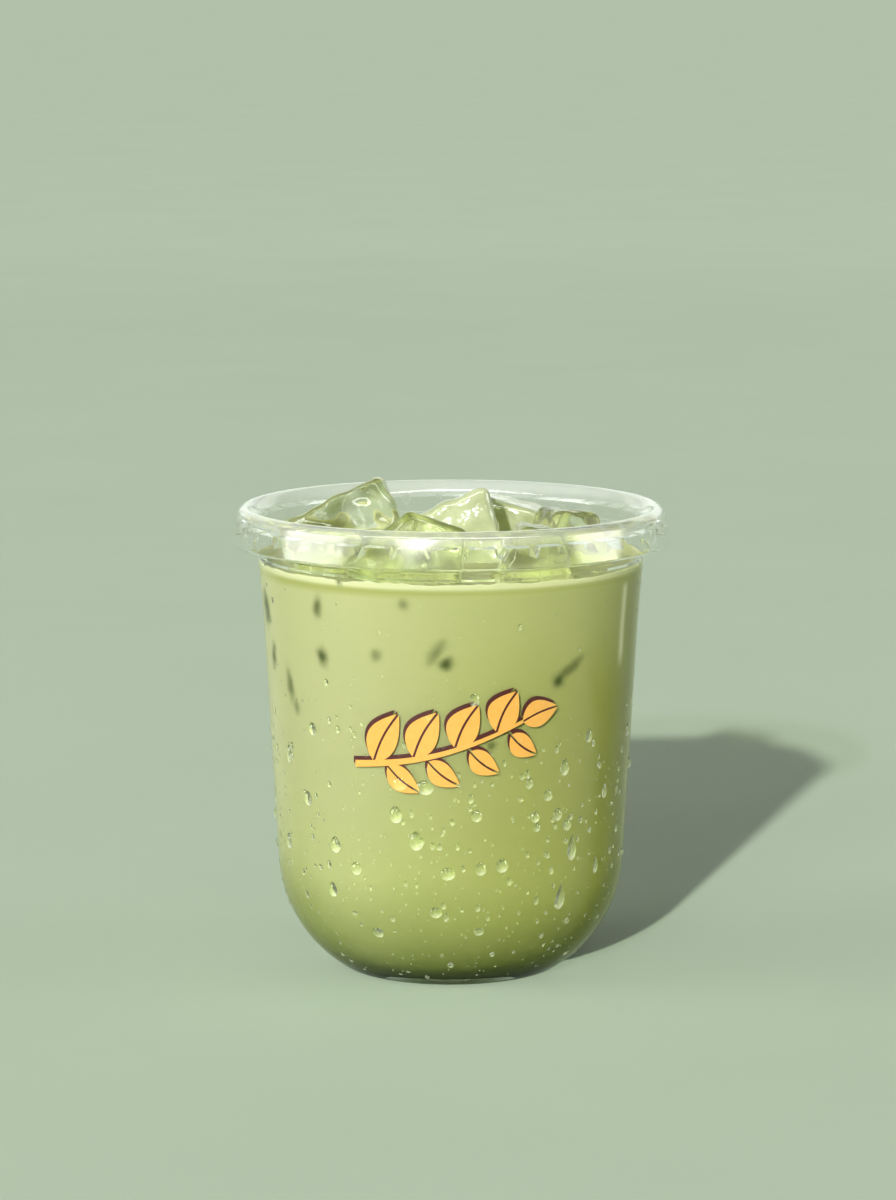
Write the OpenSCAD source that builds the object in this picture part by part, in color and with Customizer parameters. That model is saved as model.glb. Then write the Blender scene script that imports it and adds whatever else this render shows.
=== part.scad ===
// Iced matcha latte in a clear, thick-walled U-shaped cup with a wide skirted rim.
// Millimetres, +Z up. The origin is the centre of the cup's flat foot.

/* [Cup body] */
// Height of the cup from the foot to the crest of the rim
cup_h = 101; // [98:1:106]
// Outer diameter across the lower edge of the rim's skirt
rim_d = 95; // [94.5:0.5:96]
// Wall thickness of the cup's side
wall_t = 1; // [0.8:0.1:1.2]
// Thickness of the cup's floor at the centre
floor_t = 1.6; // [1.2:0.2:2.4]
// Angle of the lower side wall away from vertical, in degrees
draft = 3.3; // [3:0.1:3.5]
// Angle of the upper side wall away from vertical, in degrees
upper_draft = 4.6; // [4:0.1:5]
// Height at which the side wall starts to open wider
shoulder_z = 78; // [70:1:82]

/* [Round bottom] */
// Outer radius of the big round corner at the bottom
bowl_r = 29.2; // [28.8:0.1:29.6]
// Distance of that corner's centre from the cup's axis
bowl_in = 8.5; // [8.2:0.1:8.8]
// Height of that corner's centre above the foot
bowl_up = 25.2; // [25:0.1:25.6]
// Inner radius of the round corner, smaller so that the plastic is thickest there
bowl_inner_r = 25; // [24:0.5:26]
// Rounding where the bowl meets the flat foot
foot_round = 3; // [2:0.5:4]

/* [Rim] */
// Height of the rim from the skirt's lower edge to the crest
rim_depth = 7.8; // [7:0.1:8.5]
// Radius of the rounded bead along the top of the rim
bead_round = 2.05; // [1.9:0.05:2.2]
// Outward flare of the skirt, in degrees
skirt_flare = 10.4; // [9:0.2:11]
// Thickness of the skirt
skirt_t = 0.85; // [0.7:0.05:1]
// Depth of the solid part of the rim below the crest
flange_depth = 3.5; // [3.2:0.1:3.8]
// Number of small V-shaped gussets between the wall and the skirt
gusset_count = 38; // [24:1:44]
// Width of a gusset along its top edge
gusset_w = 2; // [1.4:0.1:2.4]
// Height of a gusset from its top edge down to its point
gusset_h = 2.3; // [1.6:0.1:2.6]

/* [Stacking ring] */
// Height of the ring's lower edge above the foot
ring_z = 90; // [89:0.5:91]
// Height of the ring itself
ring_h = 2; // [1.6:0.2:2.4]
// How far the ring stands in from the wall
ring_in = 0.45; // [0.3:0.05:0.5]

/* [Drink and ice] */
// Level of the drink above the foot
drink_z = 87.5; // [84:0.5:89]
// Radius of the melted corners of the ice
ice_round = 2.4; // [2:0.2:2.8]

/* [Hidden] */
$fn = 96;
ice_fn = 20;
arc_steps = 20;
gusset_bite = 0.4;
gusset_phase = -86.4;

// How far the side wall's line stands from the axis, square to the wall
wall_k = bowl_in * cos(draft) - bowl_up * sin(draft) + bowl_r;

// The foot's rounding touches the bowl from inside and stands on the ground plane
foot_cr = bowl_in + sqrt(pow(bowl_r - foot_round, 2) - pow(bowl_up - foot_round, 2));
foot_join = atan2(foot_round - bowl_up, foot_cr - bowl_in);

// The inner corner touches the floor and the inner face of the side wall
inner_cz = floor_t + bowl_inner_r;
inner_cr = (wall_k - wall_t - bowl_inner_r + inner_cz * sin(draft)) / cos(draft);

// The bead touches the outer line of the skirt
skirt_z = cup_h - rim_depth;
flange_z = cup_h - flange_depth;
bead_cz = cup_h - bead_round;
edge_z = skirt_z + skirt_t / 2;
edge_cr = (rim_d - skirt_t) / 2;
skirt_k = edge_cr * cos(skirt_flare) + edge_z * sin(skirt_flare) + skirt_t / 2;
bead_cr = (skirt_k - bead_round - bead_cz * sin(skirt_flare)) / cos(skirt_flare);
lip_angle = 135;
throat_z = cup_h - 2.1;
throat_out = 0.35;

// Radius of the side wall at height z, measured a depth t in from the outer face
function lower_r(z, t) = (wall_k - t + z * sin(draft)) / cos(draft);
function wall_r(z, t) = z < shoulder_z
    ? lower_r(z, t)
    : lower_r(shoulder_z, t) + (z - shoulder_z) * tan(upper_draft);
// Radius of the skirt at height z, measured a depth t in from its outer face
function skirt_r(z, t) = (skirt_k - t - z * sin(skirt_flare)) / cos(skirt_flare);
// Points along an arc
function arc(cr, cz, r, from, to) = [
    for (i = [0 : arc_steps])
        let (a = from + (to - from) * i / arc_steps)
        [cr + r * cos(a), cz + r * sin(a)]
];

// The cup's outside, from the axis under the foot up to the flange
outside = concat(
    [[0, 0]],
    arc(foot_cr, foot_round, foot_round, -90, foot_join),
    arc(bowl_in, bowl_up, bowl_r, foot_join, -draft),
    [[wall_r(shoulder_z, 0), shoulder_z], [wall_r(flange_z, 0), flange_z]]
);
// The rim, from the flange's underside round the skirt and bead to the inner lip
rim = concat(
    [[skirt_r(flange_z, skirt_t), flange_z]],
    arc(edge_cr, edge_z, skirt_t / 2, skirt_flare - 180, skirt_flare),
    arc(bead_cr, bead_cz, bead_round, skirt_flare, lip_angle)
);
// The inner corner and the side up to a height, from the axis outwards
function inside_to(z) = concat(
    [[0, floor_t]],
    arc(inner_cr, inner_cz, bowl_inner_r, -90, -draft),
    [[wall_r(shoulder_z, wall_t), shoulder_z], [wall_r(z, wall_t), z]]
);
// The stacking ring and the throat that opens to the inner lip
throat = [
    [wall_r(ring_z, wall_t) - ring_in, ring_z + ring_in],
    [wall_r(ring_z + ring_h, wall_t) - ring_in, ring_z + ring_h - ring_in],
    [wall_r(ring_z + ring_h, wall_t), ring_z + ring_h],
    [wall_r(flange_z, wall_t), flange_z],
    [wall_r(throat_z, wall_t) + throat_out, throat_z]
];
inside = concat(inside_to(ring_z), throat);
function backwards(points) = [for (i = [len(points) - 1 : -1 : 0]) points[i]];

// A V-shaped gusset that runs outwards from the wall to the skirt, let into all it touches
module gusset() {
    inner = wall_r(flange_z, 0) - gusset_bite;
    outer = skirt_r(flange_z, skirt_t) + gusset_bite + skirt_t / 4;
    rise = gusset_bite * gusset_w / gusset_h / 2;
    translate([inner, 0, flange_z])
        rotate([90, 0, 90])
            linear_extrude(height = outer - inner)
                polygon([
                    [-gusset_w / 2 - rise, gusset_bite],
                    [0, -gusset_h],
                    [gusset_w / 2 + rise, gusset_bite]
                ]);
}

module cup() {
    color([0.87, 0.92, 0.85, 0.35]) {
        rotate([0, 0, gusset_phase + 180 / gusset_count])
            rotate_extrude()
                polygon(concat(outside, rim, backwards(inside)));
        for (i = [0 : gusset_count - 1])
            rotate([0, 0, gusset_phase + i * 360 / gusset_count])
                gusset();
    }
}

// A melted ice cube: a box with round corners, whose top is scaled and pushed aside
module chunk(at, size, turn, top, push) {
    reach = size / 2 - [ice_round, ice_round, ice_round];
    translate(at)
        rotate(turn)
            hull()
                for (x = [-1, 1], y = [-1, 1], z = [-1, 1]) {
                    scaled = z > 0 ? top : [1, 1];
                    aside = z > 0 ? push : [0, 0];
                    translate([x * reach.x * scaled.x + aside.x, y * reach.y * scaled.y + aside.y, z * reach.z])
                        sphere(r = ice_round, $fn = ice_fn);
                }
}

module left_chunk() {
    chunk([-22, -6, 93.3], [27, 18, 22], [-12, -24, 6], [0.88, 0.8], [0.5, 1]);
}

module front_chunk() {
    chunk([-8.5, -24, 93.5], [25, 13, 18], [-8, 20, -4], [0.55, 0.8], [3, 0]);
}

module back_chunk() {
    chunk([1.2, 8.5, 91.2], [18, 15, 19], [-10, -25, 4], [1.1, 0.8], [2, 0]);
}

module saddle_chunk() {
    chunk([14.5, 23.8, 89.5], [22, 11, 19], [4, 14, -10], [0.88, 0.85], [0, 0]);
}

module right_chunk() {
    chunk([25.5, 3, 91.2], [21, 15, 18], [0, 10, 24], [0.45, 0.7], [-1, 0]);
}

module corner_chunk() {
    chunk([18.5, -21.5, 91.5], [19, 13, 16], [-6, 8, 6], [0.4, 0.7], [-1, 0]);
}

// The drink fills the cup up to its level, cut round the ice that dips into it
module latte() {
    color([0.74, 0.79, 0.5])
        difference() {
            rotate_extrude()
                polygon(concat(inside_to(drink_z), [[0, drink_z]]));
            left_chunk();
            front_chunk();
            back_chunk();
            saddle_chunk();
            right_chunk();
            corner_chunk();
        }
}

module ice_left() {
    color([0.86, 0.9, 0.7, 0.5])
        left_chunk();
}

module ice_front() {
    color([0.84, 0.89, 0.66, 0.5])
        front_chunk();
}

module ice_back() {
    color([0.83, 0.86, 0.64])
        back_chunk();
}

module ice_saddle() {
    color([0.82, 0.85, 0.62])
        saddle_chunk();
}

module ice_right() {
    color([0.8, 0.85, 0.6, 0.5])
        right_chunk();
}

module ice_corner() {
    color([0.78, 0.83, 0.55, 0.5])
        corner_chunk();
}

cup();
latte();
ice_left();
ice_front();
ice_back();
ice_saddle();
ice_right();
ice_corner();
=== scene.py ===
import math
import random

import bmesh
import bpy
import numpy as np
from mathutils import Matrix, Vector, noise
from mathutils.bvhtree import BVHTree


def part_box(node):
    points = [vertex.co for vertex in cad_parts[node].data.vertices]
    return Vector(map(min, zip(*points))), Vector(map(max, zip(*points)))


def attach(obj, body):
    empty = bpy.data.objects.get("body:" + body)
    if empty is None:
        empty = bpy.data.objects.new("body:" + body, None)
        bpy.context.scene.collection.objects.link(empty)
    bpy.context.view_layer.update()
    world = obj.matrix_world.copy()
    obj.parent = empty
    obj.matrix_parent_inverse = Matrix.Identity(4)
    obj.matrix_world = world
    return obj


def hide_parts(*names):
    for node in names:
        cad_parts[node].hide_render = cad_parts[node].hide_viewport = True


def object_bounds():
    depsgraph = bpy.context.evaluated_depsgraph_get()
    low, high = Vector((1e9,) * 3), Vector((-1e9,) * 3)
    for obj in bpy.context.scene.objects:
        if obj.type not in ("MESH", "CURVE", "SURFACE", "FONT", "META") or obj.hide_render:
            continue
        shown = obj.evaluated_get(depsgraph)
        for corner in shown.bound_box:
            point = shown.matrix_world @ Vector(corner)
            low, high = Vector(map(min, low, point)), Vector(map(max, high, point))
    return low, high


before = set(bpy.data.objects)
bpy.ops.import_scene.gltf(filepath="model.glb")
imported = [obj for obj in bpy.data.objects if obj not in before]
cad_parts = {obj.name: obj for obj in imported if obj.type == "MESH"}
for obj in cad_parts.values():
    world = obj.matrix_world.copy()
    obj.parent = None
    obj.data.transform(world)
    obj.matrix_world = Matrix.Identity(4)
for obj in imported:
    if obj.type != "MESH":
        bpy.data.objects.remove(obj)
cad_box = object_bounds()

MM = 0.001
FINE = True

# ---------------------------------------------------------------- sizes, in millimetres
# The cup's height, its width and the drink's level are read from the CAD parts, and the rest is as in
# the CAD
CUP_LOW, CUP_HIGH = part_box("cup")
CUP_H = round(CUP_HIGH.z / MM, 1)
RIM_D = round((CUP_HIGH.x - CUP_LOW.x) / MM, 1)
WALL_T = 1.0
FLOOR_T = 1.6
DRAFT = math.radians(3.3)
UPPER_DRAFT = math.radians(4.6)
SHOULDER_Z = 78.0
BOWL_R = 29.2
BOWL_IN = 8.5
BOWL_UP = 25.2
BOWL_INNER_R = 25.0
FOOT_ROUND = 3.0
RIM_DEPTH = 7.8
BEAD_ROUND = 2.05
SKIRT_FLARE = math.radians(10.4)
SKIRT_T = 0.85
FLANGE_DEPTH = 3.5
GUSSETS = 38
GUSSET_W = 2.0
GUSSET_H = 2.3
GUSSET_BITE = 0.4
GUSSET_PHASE = math.radians(-86.4)
RING_Z = 90.0
RING_H = 2.0
RING_IN = 0.45
LIP_ANGLE = math.radians(135)
THROAT_UP = 2.1
THROAT_OUT = 0.35
DRINK_Z = round(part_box("latte")[1].z / MM, 2)

SKIRT_Z = CUP_H - RIM_DEPTH
FLANGE_Z = CUP_H - FLANGE_DEPTH
EDGE_Z = SKIRT_Z + SKIRT_T / 2
EDGE_R = (RIM_D - SKIRT_T) / 2
WALL_K = BOWL_IN * math.cos(DRAFT) - BOWL_UP * math.sin(DRAFT) + BOWL_R
SKIRT_K = EDGE_R * math.cos(SKIRT_FLARE) + EDGE_Z * math.sin(SKIRT_FLARE) + SKIRT_T / 2
BEAD_Z = CUP_H - BEAD_ROUND
BEAD_R = (SKIRT_K - BEAD_ROUND - BEAD_Z * math.sin(SKIRT_FLARE)) / math.cos(SKIRT_FLARE)


def lower_r(z, t=0.0):
    return (WALL_K - t + z * math.sin(DRAFT)) / math.cos(DRAFT)


def side_r(z, t=0.0):
    """Radius of the side wall at height z, a depth t in from its outer face."""
    if z < SHOULDER_Z:
        return lower_r(z, t)
    return lower_r(SHOULDER_Z, t) + (z - SHOULDER_Z) * math.tan(UPPER_DRAFT)


def skirt_r(z, t=0.0):
    return (SKIRT_K - t - z * math.sin(SKIRT_FLARE)) / math.cos(SKIRT_FLARE)


def arc(centre_r, centre_z, radius, start, end, steps):
    angles = np.linspace(start, end, steps + 1)
    return [(centre_r + radius * math.cos(a), centre_z + radius * math.sin(a)) for a in angles]


def side_line(z_from, z_to, step, t=0.0):
    count = max(2, int((z_to - z_from) / step) + 1)
    return [(side_r(z, t), z) for z in np.linspace(z_from, z_to, count)]


def inner_bowl(t, steps):
    """The round inner corner, grown outwards by how much t is short of the wall."""
    grow = WALL_T - t
    radius = BOWL_INNER_R + grow
    centre_z = FLOOR_T + BOWL_INNER_R
    centre_r = (WALL_K - WALL_T - BOWL_INNER_R + centre_z * math.sin(DRAFT)) / math.cos(DRAFT)
    return arc(centre_r, centre_z, radius, -math.pi / 2, -DRAFT, steps)


def cup_profile():
    foot_r = BOWL_IN + math.sqrt((BOWL_R - FOOT_ROUND) ** 2 - (BOWL_UP - FOOT_ROUND) ** 2)
    foot_join = math.atan2(FOOT_ROUND - BOWL_UP, foot_r - BOWL_IN)
    bowl_top = BOWL_UP - BOWL_R * math.sin(DRAFT)
    outside = [(0, 0), (foot_r * 0.5, 0)]
    outside += arc(foot_r, FOOT_ROUND, FOOT_ROUND, -math.pi / 2, foot_join, 8)
    outside += arc(BOWL_IN, BOWL_UP, BOWL_R, foot_join, -DRAFT, 40)[1:]
    outside += side_line(bowl_top, SHOULDER_Z, 6)[1:]
    outside += side_line(SHOULDER_Z, FLANGE_Z, 4)[1:]
    rim = [(skirt_r(FLANGE_Z, SKIRT_T), FLANGE_Z)]
    rim += arc(EDGE_R, EDGE_Z, SKIRT_T / 2, SKIRT_FLARE - math.pi, SKIRT_FLARE, 12)
    rim += arc(BEAD_R, BEAD_Z, BEAD_ROUND, SKIRT_FLARE, LIP_ANGLE, 20)
    ring_top = RING_Z + RING_H
    throat_z = CUP_H - THROAT_UP
    inside = inner_bowl(WALL_T, 40)
    inside += side_line(inside[-1][1], SHOULDER_Z, 6, WALL_T)[1:]
    inside += side_line(SHOULDER_Z, RING_Z, 4, WALL_T)[1:]
    inside += [
        (side_r(RING_Z, WALL_T) - RING_IN, RING_Z + RING_IN),
        (side_r(ring_top, WALL_T) - RING_IN, ring_top - RING_IN),
        (side_r(ring_top, WALL_T), ring_top),
        (side_r(FLANGE_Z, WALL_T), FLANGE_Z),
        (side_r(throat_z, WALL_T) + THROAT_OUT, throat_z),
    ]
    return outside + rim + inside[::-1] + [(0, FLOOR_T)]


def wall_frame(azimuth, z):
    """A point on the cup's outer face with its outward normal and its right and up directions.
    The azimuth is in degrees round from the printed front, -Y, towards +X."""
    a = math.radians(azimuth)
    out = Vector((math.sin(a), -math.cos(a), 0))
    bowl_top = BOWL_UP - BOWL_R * math.sin(DRAFT)
    if z < bowl_top:
        r = BOWL_IN + math.sqrt(max(0.0, BOWL_R**2 - (z - BOWL_UP) ** 2))
        lean = math.asin(max(-1.0, (z - BOWL_UP) / BOWL_R))
    else:
        r = side_r(z)
        lean = -DRAFT if z < SHOULDER_Z else -UPPER_DRAFT
    normal = (out * math.cos(lean) + Vector((0, 0, math.sin(lean)))).normalized()
    right = Vector((math.cos(a), math.sin(a), 0))
    return out * r + Vector((0, 0, z)), normal, right, normal.cross(right) * -1


def soft_step(values, low, high):
    """A smooth rise from 0 at low to 1 at high, or a fall where low is the higher one."""
    t = np.clip((values - low) / (high - low), 0, 1)
    return t * t * (3 - 2 * t)


# ---------------------------------------------------------------- mesh helpers


def add_object(name, verts_mm, faces, smooth=True):
    mesh = bpy.data.meshes.new(name)
    coords = np.asarray(verts_mm, float) * MM
    mesh.from_pydata(coords.tolist(), [], faces)
    mesh.update()
    obj = bpy.data.objects.new(name, mesh)
    bpy.context.scene.collection.objects.link(obj)
    if smooth:
        all_smooth(obj)
    return obj


def face_outwards(obj):
    bm = bmesh.new()
    bm.from_mesh(obj.data)
    bmesh.ops.recalc_face_normals(bm, faces=bm.faces)
    bm.to_mesh(obj.data)
    bm.free()


ON_AXIS = 1e-9


def lathe(name, profile, segments):
    """A closed turned body. The profile starts and ends on the axis."""
    verts = []
    rows = []
    for r, z in profile:
        if r < ON_AXIS:
            rows.append([len(verts)])
            verts.append((0, 0, z))
            continue
        first = len(verts)
        rows.append(list(range(first, first + segments)))
        for i in range(segments):
            a = 2 * math.pi * i / segments
            verts.append((r * math.cos(a), r * math.sin(a), z))
    faces = []
    for low, high in zip(rows, rows[1:]):
        for i in range(segments):
            j = (i + 1) % segments
            if len(low) == 1:
                faces.append((low[0], high[i], high[j]))
            elif len(high) == 1:
                faces.append((low[i], low[j], high[0]))
            else:
                faces.append((low[i], low[j], high[j], high[i]))
    obj = add_object(name, verts, faces)
    face_outwards(obj)
    return obj


def apply_modifiers(obj):
    depsgraph = bpy.context.evaluated_depsgraph_get()
    mesh = bpy.data.meshes.new_from_object(obj.evaluated_get(depsgraph))
    obj.modifiers.clear()
    old = obj.data
    obj.data = mesh
    bpy.data.meshes.remove(old)


def positions(obj):
    co = np.empty(len(obj.data.vertices) * 3, np.float32)
    obj.data.vertices.foreach_get("co", co)
    return co.reshape(-1, 3).astype(float)


def set_positions(obj, co):
    obj.data.vertices.foreach_set("co", np.asarray(co, np.float32).ravel())
    obj.data.update()


def add_values(obj, name, values):
    """Gives every point of the mesh a value that its material reads."""
    attribute = obj.data.attributes.new(name, "FLOAT", "POINT")
    attribute.data.foreach_set("value", np.asarray(values, np.float32))


def all_smooth(obj):
    obj.data.polygons.foreach_set("use_smooth", [True] * len(obj.data.polygons))


def finish_piece(obj, material, node=None):
    obj.data.materials.clear()
    obj.data.materials.append(material)
    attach(obj, "root")
    if node:
        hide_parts(node)
    return obj


# ---------------------------------------------------------------- material helpers


class Nodes:
    """A material's node tree, with short ways to add and link nodes."""

    def __init__(self, name):
        self.material = bpy.data.materials.new(name)
        self.material.use_nodes = True
        self.tree = self.material.node_tree
        self.tree.nodes.clear()
        self.output = self.tree.nodes.new("ShaderNodeOutputMaterial")

    def add(self, kind, **settings):
        node = self.tree.nodes.new("ShaderNode" + kind)
        for key, value in settings.items():
            setattr(node, key, value)
        return node

    def link(self, source, target):
        self.tree.links.new(source, target)

    def principled(self, **sockets):
        node = self.add("BsdfPrincipled")
        for key, value in sockets.items():
            node.inputs[key.replace("_", " ")].default_value = value
        return node

    def height(self):
        """Height above the foot, in metres."""
        place = self.add("TexCoord")
        split = self.add("SeparateXYZ")
        self.link(place.outputs["Object"], split.inputs[0])
        return split.outputs["Z"]

    def value(self, name):
        """A value that add_values gave the mesh."""
        return self.add("Attribute", attribute_name=name).outputs["Fac"]

    def combine(self, operation, a, b):
        node = self.add("Math", operation=operation)
        self.link(a, node.inputs[0])
        self.link(b, node.inputs[1])
        return node.outputs[0]

    def noise(self, scale, detail=2.0, rough=0.5, stretch=(1, 1, 1)):
        place = self.add("TexCoord")
        mapping = self.add("Mapping")
        mapping.inputs["Scale"].default_value = stretch
        self.link(place.outputs["Object"], mapping.inputs["Vector"])
        node = self.add("TexNoise")
        node.inputs["Scale"].default_value = scale
        node.inputs["Detail"].default_value = detail
        node.inputs["Roughness"].default_value = rough
        self.link(mapping.outputs["Vector"], node.inputs["Vector"])
        return node.outputs["Fac"]

    def ramp(self, source, stops):
        node = self.add("ValToRGB")
        ramp = node.color_ramp
        while len(ramp.elements) < len(stops):
            ramp.elements.new(0.5)
        for element, (place, colour) in zip(ramp.elements, stops):
            element.position = place
            element.color = (*colour, 1)
        self.link(source, node.inputs["Fac"])
        return node.outputs["Color"]

    def spread(self, source, low, high, to_low=0.0, to_high=1.0):
        node = self.add("MapRange")
        node.inputs["From Min"].default_value = low
        node.inputs["From Max"].default_value = high
        node.inputs["To Min"].default_value = to_low
        node.inputs["To Max"].default_value = to_high
        self.link(source, node.inputs["Value"])
        return node.outputs["Result"]

    def mix(self, factor, a, b, blend="MIX"):
        node = self.add("Mix", data_type="RGBA", blend_type=blend)
        for socket, value in ((node.inputs[0], factor), (node.inputs[6], a), (node.inputs[7], b)):
            if isinstance(value, bpy.types.NodeSocket):
                self.link(value, socket)
            else:
                socket.default_value = value if isinstance(value, float) else (*value, 1)
        return node.outputs[2]

    def bump(self, height, strength, distance):
        node = self.add("Bump")
        node.inputs["Strength"].default_value = strength
        node.inputs["Distance"].default_value = distance
        self.link(height, node.inputs["Height"])
        return node.outputs["Normal"]

    def lamps_pass(self, shader, tint):
        """Light from the lamps reaches what lies behind the clear shader."""
        path = self.add("LightPath")
        clear = self.add("BsdfTransparent")
        clear.inputs["Color"].default_value = (*tint, 1)
        mix = self.add("MixShader")
        self.link(path.outputs["Is Shadow Ray"], mix.inputs[0])
        self.link(shader, mix.inputs[1])
        self.link(clear.outputs[0], mix.inputs[2])
        return mix.outputs[0]

    def done(self, shader):
        self.link(shader, self.output.inputs["Surface"])
        return self.material


# Real plastic bends light more (1.49) and so does water (1.33), but the photo's look thin and unbent
WALL_IOR = 1.12
RIM_IOR = 1.14
GUSSET_IOR = 1.08
WATER_IOR = 1.12
PLASTIC_SHADE = (0.93, 0.95, 0.91)
# A painted contact shadow: the foot's plastic is painted dark up to the first height and clear from
# the second
FOOT_SHADOW_Z = 0.6
FOOT_SHADOW_END_Z = 2.8
# The rim is clear up to the first height and faintly veiled from the second
VEIL_LOW_Z = CUP_H - 3.6
VEIL_HIGH_Z = CUP_H - 1.6


def wall_material():
    """The clear moulded plastic of the side wall, with faint flow ripples and a painted contact
    shadow on its foot.
    """
    n = Nodes("clear_wall")
    shader = n.principled(Roughness=0.0, IOR=WALL_IOR, Transmission_Weight=1.0)
    # Painted contact shadow: the foot's plastic darkens towards the floor
    foot = n.spread(n.height(), FOOT_SHADOW_Z * MM, FOOT_SHADOW_END_Z * MM)
    colour = n.mix(foot, (0.06, 0.08, 0.03), (0.985, 0.99, 0.975))
    n.link(colour, shader.inputs["Base Color"])
    ripple = n.noise(90, 2.0, 0.5, (1, 1, 0.35))
    n.link(n.bump(ripple, 0.06, 0.0004), shader.inputs["Normal"])
    return n.done(n.lamps_pass(shader.outputs[0], PLASTIC_SHADE))


def rim_material():
    """The same plastic at the rim, where its polished curves catch the lamps."""
    n = Nodes("clear_rim")
    shader = n.principled(
        Base_Color=(0.985, 0.98, 0.97, 1), Roughness=0.0, IOR=RIM_IOR,
        Coat_Weight=1.0, Coat_Roughness=0.16, Coat_IOR=1.55,
    )
    clear = n.spread(n.height(), VEIL_LOW_Z * MM, VEIL_HIGH_Z * MM, 0.985, 0.92)
    n.link(clear, shader.inputs["Transmission Weight"])
    ripple = n.noise(60, 2.0, 0.5)
    n.link(n.bump(ripple, 0.03, 0.0004), shader.inputs["Normal"])
    return n.done(n.lamps_pass(shader.outputs[0], PLASTIC_SHADE))


def gusset_material():
    """The same plastic behind the skirt, whose small faces bend the light only a little."""
    n = Nodes("clear_gussets")
    shader = n.principled(
        Base_Color=(0.985, 0.985, 0.975, 1), Roughness=0.0, IOR=GUSSET_IOR,
        Transmission_Weight=1.0,
    )
    return n.done(n.lamps_pass(shader.outputs[0], (0.95, 0.96, 0.93)))


def ice_material():
    """Clear wet ice with a thin uneven film of the drink on it, and painted shade where its film
    value is high.
    """
    n = Nodes("clear_ice")
    film = n.noise(120, 2.0, 0.5, (1, 0.8, 1.3))
    thin = n.ramp(film, [(0.42, (0.92, 0.94, 0.79)), (0.60, (0.72, 0.78, 0.46))])
    # Painted shade, partly a film of the drink: a high film value darkens the ice to olive
    colour = n.mix(n.value("film"), thin, (0.15, 0.17, 0.02))
    clear = n.spread(film, 0.42, 0.62, 0.97, 0.90)
    shader = n.principled(Roughness=0.01, IOR=1.36)
    n.link(colour, shader.inputs["Base Color"])
    n.link(clear, shader.inputs["Transmission Weight"])
    pits = n.noise(260, 3.0, 0.55)
    n.link(n.bump(pits, 0.12, 0.0005), shader.inputs["Normal"])
    return n.done(n.lamps_pass(shader.outputs[0], (0.80, 0.82, 0.70)))


def milky_ice_material():
    """Ice under a coat of the drink, wet and nearly opaque."""
    n = Nodes("milky_ice")
    patches = n.noise(140, 3.0, 0.5)
    colour = n.ramp(patches, [(0.35, (0.250, 0.280, 0.140)), (0.65, (0.340, 0.370, 0.215))])
    shader = n.principled(
        Roughness=0.12, IOR=1.33, Subsurface_Weight=0.4, Subsurface_Scale=0.003,
        Coat_Weight=1.0, Coat_Roughness=0.02,
    )
    shader.inputs["Subsurface Radius"].default_value = (1.0, 1.1, 0.5)
    n.link(colour, shader.inputs["Base Color"])
    n.link(n.bump(n.noise(330, 2.0, 0.5), 0.5, 0.0008), shader.inputs["Normal"])
    return n.done(n.lamps_pass(shader.outputs[0], (0.42, 0.45, 0.28)))


# The drink's colours from its floor up to its level: denser matcha low down and darkest at the floor
# as painted shade, and a little paler near the level as painted light from above
LATTE_TONES_AND_LIGHT = [
    (0.05, (0.138, 0.164, 0.044)),
    (0.30, (0.218, 0.234, 0.100)),
    (0.60, (0.225, 0.233, 0.117)),
    (1.0, (0.242, 0.253, 0.122)),
]
OLIVE_AND_SHADE_TINT = (0.59, 0.62, 0.16)
CLING_AND_LIGHT_TONE = (0.42, 0.43, 0.27)
ICE_SPOT_SHADE = (0.028, 0.040, 0.009)
SPECK_TONE = (0.05, 0.07, 0.015)
# Specks of undissolved powder come in below the first height and are all there at the second
SPECKS_FROM_Z = 18.0
SPECKS_FULL_Z = 4.0


def latte_material():
    """Milky green tea, paler above and darker low down, partly painted light and shade, with painted
    shade where ice nears the wall and down one side, and painted light at its sides.
    """
    n = Nodes("matcha_latte")
    z = n.height()
    wander = n.spread(n.noise(22, 3.0, 0.5, (1, 1, 0.6)), 0.3, 0.7, -0.08, 0.08)
    level = n.combine("ADD", n.spread(z, 0.0, DRINK_Z * MM), wander)
    # Painted light and shade: the tones darken towards the floor and pale towards the level
    colour = n.ramp(level, LATTE_TONES_AND_LIGHT)
    # Painted shade, partly denser drink: olive along the level and down the right side
    colour = n.mix(n.value("olive_shade"), colour, OLIVE_AND_SHADE_TINT, "MULTIPLY")
    # A real coat of drink above the level, with a painted highlight streak and painted light on the
    # sides
    colour = n.mix(n.value("cling_and_light"), colour, CLING_AND_LIGHT_TONE)
    # Painted shade where sunken ice nears the wall
    colour = n.mix(n.value("ice_shade"), colour, ICE_SPOT_SHADE)
    low = n.spread(z, SPECKS_FROM_Z * MM, SPECKS_FULL_Z * MM)
    speck = n.spread(n.noise(2600, 2.0, 0.6), 0.66, 0.72)
    colour = n.mix(n.combine("MULTIPLY", low, speck), colour, SPECK_TONE)
    shader = n.principled(
        Roughness=0.25, IOR=1.35, Specular_IOR_Level=0.05, Subsurface_Weight=0.2,
        Subsurface_Scale=0.002,
    )
    shader.inputs["Subsurface Radius"].default_value = (1.0, 1.1, 0.5)
    n.link(colour, shader.inputs["Base Color"])
    return n.done(shader.outputs[0])


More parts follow.
